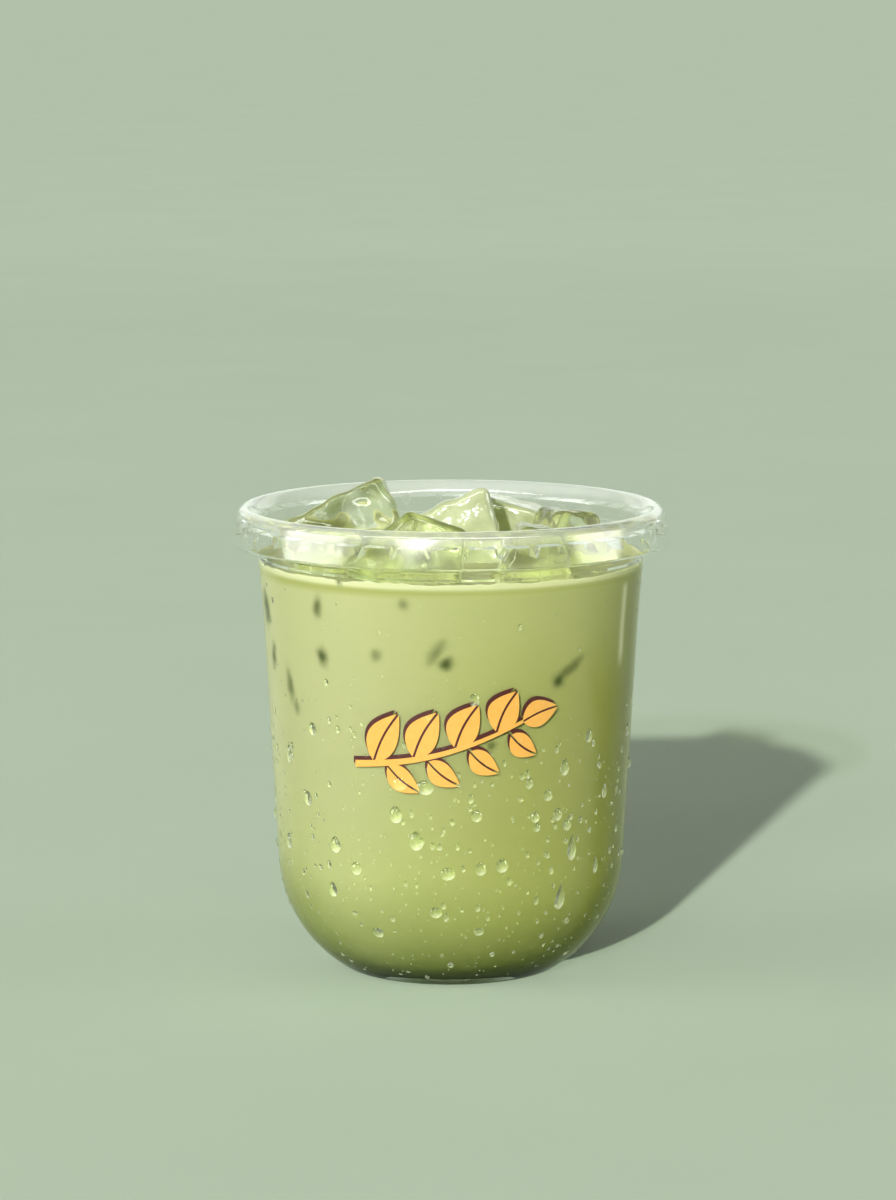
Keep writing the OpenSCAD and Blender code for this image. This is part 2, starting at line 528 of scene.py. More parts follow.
def water_material():
    """Beads of water with painted shade along the top and a painted highlight low down, where real
    drops gather the light.
    """
    n = Nodes("water")
    lens = n.value("lens")
    lens_light_and_shade = n.ramp(n.spread(lens, -1.0, 1.0), [
        (0.0, (0.30, 0.36, 0.12)),
        (0.3, (0.80, 0.85, 0.60)),
        (0.7, (0.88, 0.92, 0.70)),
        (1.0, (1.0, 1.0, 0.90)),
    ])
    clear = n.spread(lens, 0.1, 0.95, 0.96, 0.80)
    shader = n.principled(
        Roughness=0.0, IOR=WATER_IOR, Coat_Weight=1.0, Coat_Roughness=0.03, Coat_IOR=1.4
    )
    n.link(lens_light_and_shade, shader.inputs["Base Color"])
    n.link(clear, shader.inputs["Transmission Weight"])
    return n.done(n.lamps_pass(shader.outputs[0], (0.97, 0.98, 0.96)))


def ink_material(name, low, high):
    """Printing ink that varies a little between two colours."""
    n = Nodes(name)
    colour = n.ramp(n.noise(900, 2.0, 0.5), [(0.3, low), (0.7, high)])
    shader = n.principled(Roughness=0.4, IOR=1.45)
    n.link(colour, shader.inputs["Base Color"])
    return n.done(shader.outputs[0])


# ---------------------------------------------------------------- the cup

CUP_SEGMENTS = 304 if FINE else 152
SHARP_ANGLE = math.radians(28)


def gusset_verts(index):
    """A V-shaped gusset as a prism from inside the wall to inside the skirt."""
    inner = side_r(FLANGE_Z) - GUSSET_BITE
    outer = skirt_r(FLANGE_Z, SKIRT_T) + GUSSET_BITE + SKIRT_T / 4
    rise = GUSSET_BITE * GUSSET_W / GUSSET_H / 2
    half = GUSSET_W / 2 + rise
    a = GUSSET_PHASE + 2 * math.pi * index / GUSSETS
    verts = []
    for r in (inner, outer):
        for y, z in ((-half, GUSSET_BITE), (0, -GUSSET_H), (half, GUSSET_BITE)):
            across = r * math.cos(a) - y * math.sin(a)
            verts.append((across, r * math.sin(a) + y * math.cos(a), FLANGE_Z + z))
    return verts


def gusset_ring():
    """All the gussets as closed prisms in one mesh."""
    verts = []
    faces = []
    for i in range(GUSSETS):
        k = len(verts)
        verts += gusset_verts(i)
        faces += [(k, k + 1, k + 2), (k + 5, k + 4, k + 3)]
        faces += [(k, k + 3, k + 4, k + 1), (k + 1, k + 4, k + 5, k + 2), (k + 2, k + 5, k + 3, k)]
    ring = add_object("gusset_tool", verts, faces, smooth=False)
    face_outwards(ring)
    return ring


def give_rim_materials(cup):
    """The rim's own plastic above the stacking ring, and the gussets' behind the skirt."""
    cup.data.materials.append(rim_material())
    cup.data.materials.append(gusset_material())
    for face in cup.data.polygons:
        z = face.center.z / MM
        away = math.hypot(face.center.x, face.center.y) / MM
        behind_skirt = z < FLANGE_Z + 0.1 and away < skirt_r(z, SKIRT_T / 2)
        if z > RING_Z + RING_H:
            face.material_index = 2 if behind_skirt else 1


def make_cup():
    cup = lathe("cup_shell", cup_profile(), CUP_SEGMENTS)
    gussets = gusset_ring()
    join = cup.modifiers.new("join", "BOOLEAN")
    join.operation = "UNION"
    join.solver = "EXACT"
    join.object = gussets
    apply_modifiers(cup)
    bpy.data.objects.remove(gussets)
    all_smooth(cup)
    cup.data.set_sharp_from_angle(angle=SHARP_ANGLE)
    finish_piece(cup, wall_material(), "cup")
    give_rim_materials(cup)


# ---------------------------------------------------------------- the ice


# Painted shade on the clear ice's side towards -Y, dark olive patches where it looks shaded:
# x, z, half width, half height, lean, strength
ICE_PAINTED_SHADE = {
    "ice_left": [
        (-25.0, 101.4, 5.4, 1.9, 33, 0.9), (-16.9, 106.0, 3.4, 1.8, 22, 0.85),
        (-26.0, 98.4, 5.5, 1.2, 0, 0.9), (-12.0, 102.0, 0.9, 3.2, 14, 0.7),
    ],
    "ice_front": [
        (-9.0, 101.6, 1.4, 2.2, 30, 0.9), (-0.8, 100.9, 5.6, 1.1, -22, 0.95),
        (-14.6, 100.0, 0.9, 1.8, -30, 0.7), (-16.5, 94.6, 5.5, 1.6, 0, 0.95),
        (-6.0, 93.6, 4.5, 1.2, 0, 0.6),
    ],
    "ice_corner": [
        (19.4, 99.7, 4.8, 1.2, 6, 0.95), (14.3, 93.4, 4.6, 1.4, 0, 0.95),
        (21.5, 94.6, 3.6, 1.5, 10, 0.75),
    ],
    "ice_right": [(22.4, 100.9, 4.6, 1.6, 14, 0.85), (28.9, 99.4, 2.6, 1.6, -28, 0.7)],
}
# Melting: sizes of the broad waists and the small hollows, and how deep they go as shares
BROAD_HOLLOWS = 8.0
SMALL_HOLLOWS = 3.5
EVEN_SHARE = 0.35
BROAD_SHARE = 0.65
SMALL_SHARE = 0.3
FILM_CLOUDS = 3.0
ICE_VOXEL = 0.38 if FINE else 0.7
ICE_SOFTENING = 12 if FINE else 5
# The ice stays this far under the top of the CAD's box
TOP_GAP = 0.1


def film_and_shade(node, co, normals, cloud):
    """How far the clear ice turns olive: partly a film of the drink on its upper faces and low down,
    partly painted shade there, and painted shade in its patches towards -Y.
    """
    z = co[:, 2] / MM
    film = 0.6 * soft_step(normals[:, 2], 0.35, 0.8) * soft_step(cloud, -0.35, 0.15)
    film = np.maximum(film, 0.35 * soft_step(z, 98.0, 94.5) * soft_step(cloud, -0.1, 0.2))
    front = soft_step(normals[:, 1], 0.3, -0.1)
    # Painted shade: dark olive patches on the ice's side towards -Y
    for x, height, half_w, half_h, lean, strength in ICE_PAINTED_SHADE.get(node, []):
        a = math.radians(lean)
        u = co[:, 0] / MM - x
        v = z - height
        along = (u * math.cos(a) + v * math.sin(a)) / half_w
        over = (v * math.cos(a) - u * math.sin(a)) / half_h
        d = np.maximum(np.hypot(along, over) + 0.5 * cloud, 0)
        film = np.maximum(film, front * strength * np.exp(-d**3 * 0.6))
    return film


def soft_copy(node):
    """A copy of the node's solid, with an even mesh and softened edges."""
    obj = bpy.data.objects.new(node + "_melted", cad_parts[node].data.copy())
    bpy.context.scene.collection.objects.link(obj)
    remesh = obj.modifiers.new("remesh", "REMESH")
    remesh.mode = "VOXEL"
    remesh.voxel_size = ICE_VOXEL * MM
    soften = obj.modifiers.new("soften", "SMOOTH")
    soften.iterations = ICE_SOFTENING
    soften.factor = 0.6
    apply_modifiers(obj)
    return obj


def point_normals(obj):
    return np.array([v.normal for v in obj.data.vertices])


def clouds(co, size, shift):
    """Smooth noise at points in metres, with features about as wide as size."""
    return np.array([noise.noise(Vector(p) / MM / size + shift) for p in co])


def make_ice(node, material, slot, seed, melt):
    """A melted copy of the node's solid: waists and hollows, with no face left flat."""
    obj = soft_copy(node)
    co = positions(obj)
    shift = Vector((seed * 7.3, seed * 3.1, seed * 5.7))
    depth = melt * (EVEN_SHARE + BROAD_SHARE * clouds(co, BROAD_HOLLOWS, shift))
    depth += SMALL_SHARE * melt * clouds(co, SMALL_HOLLOWS, shift)
    co = co - point_normals(obj) * depth[:, None] * MM
    co[:, 2] = np.minimum(co[:, 2], cad_box[1].z - TOP_GAP * MM)
    set_positions(obj, co)
    all_smooth(obj)
    film = film_and_shade(node, co, point_normals(obj), clouds(co, FILM_CLOUDS, shift))
    add_values(obj, "film", film)
    return finish_piece(obj, material, node)


# ---------------------------------------------------------------- the drink

# Painted shade where sunken ice nears the wall: azimuth, height, half width, half height, lean,
# strength
DARK_SPOTS = [
    (-35, 89.5, 0.6, 1.2, 10, 0.9),
    (-14, 85.0, 0.9, 1.2, 30, 0.6),
    (-44, 83.0, 1.1, 1.9, -12, 0.8),
    (-77, 80.0, 2.2, 3.4, 15, 0.9),
    (-72, 70.0, 1.5, 2.4, -10, 0.8),
    (-43, 72.5, 1.2, 1.9, 25, 0.95),
    (-60, 64.5, 1.2, 3.2, 12, 0.75),
    (-57, 60.5, 1.0, 1.4, 12, 0.6),
    (-23, 74.0, 1.2, 1.1, 20, 0.55),
    (-1.5, 72.8, 1.4, 1.4, 0, 0.95),
    (-4.5, 75.0, 1.3, 2.6, -40, 0.6),
    (35, 68.0, 1.5, 1.5, 0, 1.0),
    (39.5, 70.2, 3.6, 1.1, 32, 0.7),
    (13, 55.0, 0.9, 0.9, 0, 0.8),
    (110, 76.0, 2.0, 2.0, 20, 0.8),
    (150, 66.0, 1.6, 2.6, -25, 0.8),
    (185, 79.0, 2.4, 1.6, 10, 0.7),
    (215, 70.0, 1.3, 2.0, 30, 0.9),
    (250, 60.0, 1.5, 1.8, -15, 0.7),
]
SPOT_CLOUDS = 1.7
# Azimuths between which the drink's tones come in or go out: painted shade towards the right, painted
# light on the sides
DENSE_AND_SHADED_SIDE_OUT = (56, 98)
BROAD_SHADE_IN = (-48, 30)
BROAD_SHADE_OUT = (66, 118)
LIT_LEFT_IN = (-58, -80)
LIT_RIGHT_IN = (58, 100)
LIT_SIDES_OUT = (165, 95)
# A painted highlight: a pale upright streak on the drink's right side
STREAK_AZIMUTH = 65.5
STREAK_HALF_W = 1.1
# How far the drink reaches into the wall, so that no air gap shows
WALL_BITE = 0.12
# A thin coat of the drink clings to the wall above its level
CLING_Z = 89.7
CLING_T = 0.12
# The surface climbs a little up the wall and up the ice: height and reach
WALL_CLIMB = (0.35, 0.8)
ICE_CLIMB = (0.9, 0.9)
SURFACE_WAVES = 0.12
# Under the ice the drink keeps this much below it, where it is more than a little inside
UNDER_ICE = 0.25
INSIDE_ICE = 0.2
LEVEL_MARGIN = 1e-6
LATTE_SEGMENTS = 360 if FINE else 180
SURFACE_RINGS = 90 if FINE else 40


def latte_profile():
    """From the axis under the drink, out and up the wall, and back over the surface."""
    t = WALL_T - WALL_BITE
    profile = [(0, FLOOR_T - WALL_BITE), (3, FLOOR_T - WALL_BITE), (6, FLOOR_T - WALL_BITE)]
    profile += inner_bowl(t, 60 if FINE else 30)
    profile += side_line(profile[-1][1], DRINK_Z, 0.7 if FINE else 1.5, t)[1:]
    profile += side_line(DRINK_Z, CLING_Z, 0.3, t)[1:]
    inner = WALL_T + CLING_T
    profile += side_line(DRINK_Z, CLING_Z, 0.6, inner)[:0:-1]
    edge = side_r(DRINK_Z, inner)
    profile += [(edge * (1 - k / SURFACE_RINGS), DRINK_Z) for k in range(SURFACE_RINGS)]
    profile.append((0, DRINK_Z))
    return profile


def wall_places(co):
    """Azimuth in degrees, radius and height in millimetres of points in metres."""
    azimuth = np.degrees(np.arctan2(co[:, 0], -co[:, 1]))
    return azimuth, np.hypot(co[:, 0], co[:, 1]) / MM, co[:, 2] / MM


def spot_strength(co):
    """How much painted shade falls where sunken ice nears the wall, 0 to 1."""
    azimuth, radius, z = wall_places(co)
    near = np.zeros(len(co))
    wobble = clouds(co, SPOT_CLOUDS, Vector())
    for az, height, half_w, half_h, lean, strength in DARK_SPOTS:
        across = (azimuth - az + 180) % 360 - 180
        u = np.radians(across) * radius
        v = z - height
        a = math.radians(lean)
        x = (u * math.cos(a) + v * math.sin(a)) / half_w
        y = (v * math.cos(a) - u * math.sin(a)) / half_h
        d = np.maximum(np.sqrt(x * x + y * y) + 0.4 * wobble, 0)
        near = np.maximum(near, strength * np.exp(-d**2.8 * 0.75))
    return near


def olive_and_shade_strength(co):
    """Where the drink turns olive, partly denser drink and partly painted shade: along its edge on
    the wall, across the front and down the right side, away from the key light.
    """
    azimuth, _, z = wall_places(co)
    start = 42 + 5 * soft_step(z, 70, 50)
    blur = 7 + 5 * soft_step(z, 80, 55)
    side = soft_step(azimuth, start - blur, start + blur)
    side *= 1 - soft_step(azimuth, *DENSE_AND_SHADED_SIDE_OUT)
    side *= 0.85 - 0.4 * soft_step(z, 60, 84)
    broad = (0.62 - 0.2 * soft_step(z, 60, 86)) * soft_step(azimuth, *BROAD_SHADE_IN)
    broad *= 1 - 0.6 * soft_step(azimuth, *BROAD_SHADE_OUT)
    edge = 0.6 * np.exp(-(((z - DRINK_Z + 0.1) / 0.8) ** 2))
    return np.maximum(np.maximum(side, broad), edge)


def cling_and_light_strength(co):
    """The coat of drink above the level, a painted highlight streak, and painted light on the paler
    sides.
    """
    azimuth, radius, z = wall_places(co)
    u = np.radians(azimuth - STREAK_AZIMUTH) * radius
    tall = soft_step(z, 67, 72) * (1 - soft_step(z, 85.5, 87))
    highlight_streak = 0.85 * tall * np.exp(-((u / STREAK_HALF_W) ** 2))
    cling = 0.5 * soft_step(z, DRINK_Z + 0.5, DRINK_Z + 1.2)
    lit_sides = 0.3 * soft_step(azimuth, *LIT_LEFT_IN) + 0.42 * soft_step(azimuth, *LIT_RIGHT_IN)
    lit_sides *= soft_step(np.abs(azimuth), *LIT_SIDES_OUT) * soft_step(z, 15, 45)
    return np.maximum(np.maximum(highlight_streak, cling), lit_sides)


def cling_height(point):
    """The coat's edge on the wall is uneven."""
    ring = Vector((point[0], point[1], 0)).normalized()
    top = 0.85 + 0.25 * noise.noise(ring * 5) + 0.12 * noise.noise(ring * 17)
    level = DRINK_Z * MM
    return level + (point[2] - level) * min(1.0, top)


def surface_shift(p, rim, trees):
    """How far a point of the surface moves: up beside the wall and ice, down under the ice."""
    from_wall = rim - math.hypot(p.x, p.y)
    rise = WALL_CLIMB[0] * math.exp(-from_wall / MM / WALL_CLIMB[1])
    rise += SURFACE_WAVES * noise.noise(p / MM / 6.0)
    drop = 0.0
    for tree in trees:
        spot, normal, _, gap = tree.find_nearest(p)
        if (p - spot).dot(normal) >= 0:
            rise = max(rise, ICE_CLIMB[0] * math.exp(-gap / MM / ICE_CLIMB[1]))
        elif gap > INSIDE_ICE * MM:
            hit = tree.ray_cast(p, Vector((0, 0, -1)))
            if hit[0] is not None:
                drop = max(drop, hit[3] / MM - UNDER_ICE)
    return -drop if drop > 0 else rise


def make_latte(ice):
    latte = lathe("latte_body", latte_profile(), LATTE_SEGMENTS)
    co = positions(latte)
    level = DRINK_Z * MM
    away = np.hypot(co[:, 0], co[:, 1])
    cling = co[:, 2] > level + LEVEL_MARGIN
    inner_edge = side_r(DRINK_Z, WALL_T) - CLING_T / 2
    on_top = (co[:, 2] > level - LEVEL_MARGIN) & (away < inner_edge * MM) & ~cling
    for i in np.nonzero(cling)[0]:
        co[i, 2] = cling_height(co[i])
    depsgraph = bpy.context.evaluated_depsgraph_get()
    trees = [BVHTree.FromObject(piece, depsgraph) for piece in ice]
    rim = side_r(DRINK_Z, WALL_T - WALL_BITE) * MM
    for i in np.nonzero(on_top)[0]:
        co[i, 2] += surface_shift(Vector(co[i]), rim, trees) * MM
    set_positions(latte, co)
    looks = {"ice_shade": spot_strength, "olive_shade": olive_and_shade_strength, "cling_and_light": cling_and_light_strength}
    for name, strength in looks.items():
        add_values(latte, name, np.where(on_top, 0.0, strength(co)))
    return finish_piece(latte, latte_material(), "latte")


# ---------------------------------------------------------------- the drops of condensation

# The larger drops: azimuth, height, width, length, how far the top is drawn out
BIG_DROPS = [
    (-48, 56.5, 2.0, 2.2, 0.2), (-52, 41.0, 2.2, 2.4, 0.3), (-40, 32.0, 2.4, 2.6, 0.4),
    (-32, 27.5, 2.2, 2.2, 0.1), (-17.5, 40.0, 2.4, 2.8, 0.3), (-11, 34.5, 2.6, 3.0, 0.5),
    (-1, 27.5, 2.6, 2.2, 0.0), (-5, 19.0, 2.2, 2.0, 0.1), (-42, 22.0, 2.0, 2.4, 0.4),
    (-26, 13.5, 2.2, 2.0, 0.1), (32, 43.5, 1.9, 2.0, 0.2), (36, 39.0, 2.0, 2.2, 0.1),
    (27.5, 39.0, 1.7, 1.9, 0.3), (40, 36.5, 1.9, 2.1, 0.4), (42.5, 31.0, 2.2, 3.6, 1.0),
    (38.5, 20.5, 2.2, 3.6, 1.0), (9.5, 14.5, 1.8, 1.6, 0.0), (16.5, 29.0, 2.2, 2.4, 0.2),
    (9.5, 28.5, 2.0, 2.2, 0.3), (8, 40.0, 2.0, 2.0, 0.1), (25, 46.5, 1.6, 1.8, 0.2),
    (38, 49.0, 2.0, 2.6, 0.7), (48, 55.0, 1.8, 2.2, 0.4), (-16, 46.8, 2.8, 2.4, 0.0),
    (-8, 46.2, 3.0, 2.6, 0.0), (7, 65.0, 1.8, 2.2, 0.2), (-62, 50.0, 1.8, 2.4, 0.3),
    (58, 42.0, 1.6, 2.4, 0.5), (55, 26.0, 1.4, 2.6, 0.6), (-66, 30.0, 2.0, 2.6, 0.4),
]
# How far a drop's flat back lies inside the wall, and how high it stands for its half width
DROP_BITE = 0.04
DROP_RISE = 0.44
DROP_SCALE = 1.25
# The rings of a drop's mesh lie closer together near its edge, and its dome is flat-topped
RING_CROWDING = 1.4
DOME_POWER = 2.2
# Rings and sides of a drop's mesh
BIG_DROP_MESH = (7, 26)
SMALL_DROP_MESH = (3, 9)
SMALL_DROPS = 1500
# Small drops lie between two heights, and grow rarer above a third one
LOWEST_DROP_Z = 2.5
HIGHEST_DROP_Z = 86
CROWDED_TO_Z = 45
THINNED_OVER = 30
LEAST_SHARE = 0.12
SMALLEST_DROP = 0.3
DROP_SIZE_RANGE = 0.85
MORE_BIG_DROPS = 34
DROP_SEED = 11


def drop_mesh(azimuth, z, width, length, drawn, rings, sides):
    """A domed drop on the wall, closed underneath just inside it: points, lens values and faces.
    The lens value runs from -1 at its top edge to 1 at its bottom edge, and sets the painted shade
    along the drop's top and the painted highlight low down."""
    half_w = DROP_SCALE * width / 2
    half_l = DROP_SCALE * length / 2
    height = DROP_RISE * min(half_w, half_l)
    verts = []
    lens = []
    for k in range(rings + 1):
        rho = 1 - (k / rings) ** RING_CROWDING if k < rings else 0.0
        lift = 1 - rho**DOME_POWER
        for s in range(sides if k < rings else 1):
            phi = 2 * math.pi * s / sides
            rise = max(0.0, math.sin(phi))
            u = rho * half_w * math.cos(phi) * (1 - 0.35 * drawn * rise)
            v = rho * half_l * (math.sin(phi) * (1 + 0.5 * drawn * rise) - 0.15 * drawn)
            spot = drop_place(azimuth, z, u, v)
            verts.append(spot[0] + spot[1] * (lift * height - DROP_BITE))
            # The lens value sets painted shade along the drop's top and a painted highlight low down
            lens.append(rho * (0.3 * math.cos(phi) - 0.95 * math.sin(phi)))
    faces = []
    for k in range(rings - 1):
        for s in range(sides):
            n = (s + 1) % sides
            faces.append((k * sides + s, k * sides + n, (k + 1) * sides + n, (k + 1) * sides + s))
    last = rings * sides
    top = (rings - 1) * sides
    for s in range(sides):
        faces.append((top + s, top + (s + 1) % sides, last))
    faces.append(tuple(range(sides))[::-1])
    return verts, lens, faces


def drop_place(azimuth, z, u, v):
    """The wall point a distance u to the right and v up the face, with its normal."""
    centre, _, _, up = wall_frame(azimuth, z)
    around = math.degrees(u / max(8.0, math.hypot(centre.x, centre.y)))
    higher = max(0.25, z + v * abs(up.z))
    return wall_frame(azimuth + around, higher)[:2]


def scatter_drops(rng, count):
    """Small drops all round: few near the top, many lower down."""
    drops = []
    while len(drops) < count:
        z = rng.uniform(LOWEST_DROP_Z, HIGHEST_DROP_Z)
        share = max(LEAST_SHARE, 1 - max(0.0, z - CROWDED_TO_Z) / THINNED_OVER)
        if rng.random() > share:
            continue
        size = SMALLEST_DROP + DROP_SIZE_RANGE * rng.random() ** 4
        azimuth = rng.uniform(-180, 180)
        length = size * rng.uniform(0.9, 1.5)
        drops.append((azimuth, z, size, length, 0.4 * rng.random()))
    return drops


def scatter_big_drops(rng, count):
    """Larger drops for the sides and back, like those at the front."""
    drops = []
    while len(drops) < count:
        width = rng.uniform(1.5, 2.6)
        place = (rng.uniform(72, 288), rng.uniform(10, 58))
        if all(abs(place[0] - d[0]) > 5 or abs(place[1] - d[1]) > 4 for d in drops):
            drops.append((*place, width, width * rng.uniform(0.9, 1.4), rng.uniform(0, 0.8)))
    return drops


def make_drops():
    rng = random.Random(DROP_SEED)
    small = scatter_drops(rng, SMALL_DROPS)
    big = BIG_DROPS + scatter_big_drops(rng, MORE_BIG_DROPS)
    verts = []
    lens = []
    faces = []
    for drops, fineness in ((big, BIG_DROP_MESH), (small, SMALL_DROP_MESH)):
        for drop in drops:
            more, values, drop_faces = drop_mesh(*drop, *fineness)
            faces += [tuple(i + len(verts) for i in face) for face in drop_faces]
            verts += more
            lens += values
    obj = add_object("condensation_drops", verts, faces)
    face_outwards(obj)
    add_values(obj, "lens", lens)
    return finish_piece(obj, water_material())


# ---------------------------------------------------------------- the print

# Sizes in millimetres in the print's plane, whose origin is on the cup's front at this height
PRINT_Z = 57.0
STEM_START = (-21.0, -6.5)
STEM_END = (15.5, 3.0)
STEM_SAG = -2.0
STEM_T = 1.5
LEAF_PAIRS = 4
# Where along the stem the first pair of leaves is, and how much further each next pair
FIRST_PAIR_AT = 0.12
PAIR_STEP = 0.24
# Each kind of leaf: angle, length, how much shorter each next one is, width, bend, midrib's gap
UPPER_LEAF = (62, 11.5, 0.7, 6.4, 0.6, 0.5)
LOWER_LEAF = (-38, 8.6, 0.5, 4.6, -0.5, 0.45)
TIP_LEAF = (18, 8.5, 0.0, 5.2, 0.4, 0.45)
SHADOW_OFFSET = (-0.45, 0.85)
# Each sheet of ink lies between two distances out from the cup's face
SHADOW_SHEET = (-0.02, 0.03)
FRONT_SHEET = (0.02, 0.08)
INK_SHARP_ANGLE = math.radians(40)
LEAF_STEPS = 16
STEM_STEPS = 40


def leaf_patch(base, angle, length, width, bend):
    """Rows of points across a pointed leaf, from its base to its tip, in the print's plane."""
    rows = []
    for i in range(LEAF_STEPS + 1):
        t = i / LEAF_STEPS
        half = width / 2 * math.sin(math.pi * t**0.8) ** 0.9
        x = length * t
        y = bend * math.sin(math.pi * t)
        rows.append([(x, y + s * max(half, 0.02)) for s in (-1, -0.5, 0, 0.5, 1)])
    c, s = math.cos(angle), math.sin(angle)
    return [[(base[0] + x * c - y * s, base[1] + x * s + y * c) for x, y in row] for row in rows]


def half_leaves(base, kind, place=0):
    """A leaf of its kind, the place-th along the stem, split along its midrib into two halves."""
    degrees, length, shrink, width, bend, gap = kind
    angle = math.radians(degrees)
    halves = []
    whole = leaf_patch(base, angle, length - shrink * place, width, bend)
    normal = (-math.sin(angle) * gap / 2, math.cos(angle) * gap / 2)
    for side in (-1, 1):
        rows = []
        for row in whole:
            mid = row[2]
            edge = row[0] if side < 0 else row[4]
            start = (mid[0] + normal[0] * side, mid[1] + normal[1] * side)
            u, v = edge[0] - mid[0], edge[1] - mid[1]
            rows.append([(start[0] + u * k / 3, start[1] + v * k / 3) for k in range(4)])
        halves.append(rows)
    return halves


def stem_point(t):
    x = STEM_START[0] + (STEM_END[0] - STEM_START[0]) * t
    y = STEM_START[1] + (STEM_END[1] - STEM_START[1]) * t + STEM_SAG * math.sin(math.pi * t)
    return x, y


def stem_patch():
    """Rows of points across the stem, which thins to half towards its tip."""
    rows = []
    for i in range(STEM_STEPS + 1):
        t = i / STEM_STEPS
        x, y = stem_point(t)
        half = STEM_T / 2 * (1 - 0.5 * t)
        rows.append([(x, y - half), (x, y), (x, y + half)])
    return rows


def sprig_patches():
    """A leafy sprig: a stem that rises to the right, leaves above and below, and one at its tip."""
    patches = [stem_patch()]
    for i in range(LEAF_PAIRS):
        x, y = stem_point(FIRST_PAIR_AT + PAIR_STEP * i)
        patches += half_leaves((x, y + 0.6), UPPER_LEAF, i)
        patches += half_leaves((x + 3.2, y - 0.4), LOWER_LEAF, i)
    patches += half_leaves(STEM_END, TIP_LEAF)
    return patches


def on_cup(u, v):
    """The point of the cup's face at a place in the print's plane, with its normal."""
    z = PRINT_Z + v
    centre = wall_frame(0, z)[0]
    azimuth = math.degrees(u / math.hypot(centre.x, centre.y))
    return wall_frame(azimuth, z)[:2]


def patch_faces(first, m, n):
    """Faces of a closed sheet whose two layers have m rows of n points each."""
    faces = []
    layer = n * m
    for i in range(m - 1):
        for j in range(n - 1):
            a = first + i * n + j
            quad = (a, a + 1, a + n + 1, a + n)
            faces.append(quad)
            faces.append(tuple(q + layer for q in quad[::-1]))
    edge = [i * n for i in range(m)] + [(m - 1) * n + j for j in range(1, n)]
    edge += [i * n + n - 1 for i in range(m - 2, -1, -1)] + [j for j in range(n - 2, 0, -1)]
    for a, b in zip(edge, edge[1:] + edge[:1]):
        faces.append((first + a, first + b, first + b + layer, first + a + layer))
    return faces


def print_mesh(name, patches, offset, sheet):
    """Thin closed sheets of ink that follow the cup's outer face."""
    verts = []
    faces = []
    for rows in patches:
        faces += patch_faces(len(verts), len(rows), len(rows[0]))
        for depth in sheet:
            for row in rows:
                for u, v in row:
                    point, normal = on_cup(u + offset[0], v + offset[1])
                    verts.append(point + normal * depth)
    obj = add_object(name, verts, faces)
    face_outwards(obj)
    obj.data.set_sharp_from_angle(angle=INK_SHARP_ANGLE)
    return obj


def make_print():
    patches = sprig_patches()
    maroon = ink_material("maroon_ink", (0.038, 0.004, 0.002), (0.050, 0.006, 0.003))
    orange = ink_material("orange_ink", (0.52, 0.262, 0.046), (0.56, 0.288, 0.054))
    shadow = print_mesh("print_shadow", patches, SHADOW_OFFSET, SHADOW_SHEET)
    finish_piece(shadow, maroon)
    front = print_mesh("print_sprig", patches, (0, 0), FRONT_SHEET)
    finish_piece(front, orange)


# ---------------------------------------------------------------- stage, lights and camera

BACKDROP = (0.47, 0.567, 0.425)
# Painted light: the floor is darker near the cup and paler far off, to even out the lamps' light
NEAR_FLOOR = (0.405, 0.492, 0.368)
FAR_FLOOR = (0.515, 0.620, 0.465)
FLOOR_HALF = 30.0
FILL_STRENGTH = 0.24
SUN_ENERGY = 5.5
SUN_WIDTH = math.radians(1.6)
# Azimuth, elevation and distance
SUN_PLACE = (-15.3, 20.7, 2.0)
# Lamps: name, azimuth, elevation, distance, width, height, radiance
SOFT_EDGED_BOXES = [
    ("key_box", -22, 23, 1.5, 0.36, 0.5, 12.0),
    ("left_box", -77, 11, 1.4, 0.95, 0.8, 8.0),
    ("right_box", 84, 11, 1.4, 0.65, 0.65, 6.0),
]
SOFT_EDGED_CARDS = [
    ("key_card", -22, 13, 1.3, 0.2, 0.26, 3.6),
    ("left_card", -77, 11, 1.3, 0.95, 0.55, 3.2),
    ("right_card", 84, 11, 1.3, 0.8, 0.5, 3.2),
]
PLAIN_CARDS = [
    ("overhead_strip", -5, 52, 1.4, 2.8, 0.16, 13.0),
    ("back_card", 180, 24, 1.5, 2.4, 0.9, 0.65),
]
# Nested shares of a lamp's size, so that its gleam fades towards its edges
BOX_SHARES = (1.0, 0.75, 0.5)
CARD_SHARES = (1.0, 0.8, 0.6, 0.4, 0.2)
LAMP_TARGET = Vector((0, 0, 0.06))
CAMERA_PLACE = (-0.0006, -0.902, 0.217)
CAMERA_DOWN = math.radians(8.63)
CAMERA_LENS = 126
CAMERA_SENSOR = 36
CAMERA_CLIP = 50


def floor_material():
    """Faintly mottled paint with painted light: darker near the cup and paler far off, evening out
    the lamps, which light the floor more near the cup.
    """
    n = Nodes("floor")
    mottle = n.ramp(n.noise(9, 4.0, 0.6), [(0.3, (0.97, 0.97, 0.97)), (0.7, (1.0, 1.0, 1.0))])
    place = n.add("TexCoord")
    away = n.add("VectorMath", operation="LENGTH")
    n.link(place.outputs["Object"], away.inputs[0])
    far = n.spread(away.outputs["Value"], 0.1, 2.4)
    colour = n.mix(1.0, n.mix(far, NEAR_FLOOR, FAR_FLOOR), mottle, "MULTIPLY")
    shader = n.principled(Roughness=0.9, Specular_IOR_Level=0.1)
    n.link(colour, shader.inputs["Base Color"])
    return n.done(shader.outputs[0])


def make_floor():
    """A plain floor that runs out to the horizon."""
    half = FLOOR_HALF / MM
    corners = [(-half, -half, 0), (half, -half, 0), (half, half, 0), (-half, half, 0)]
    floor = add_object("floor", corners, [(0, 1, 2, 3)], smooth=False)
    floor.data.materials.append(floor_material())


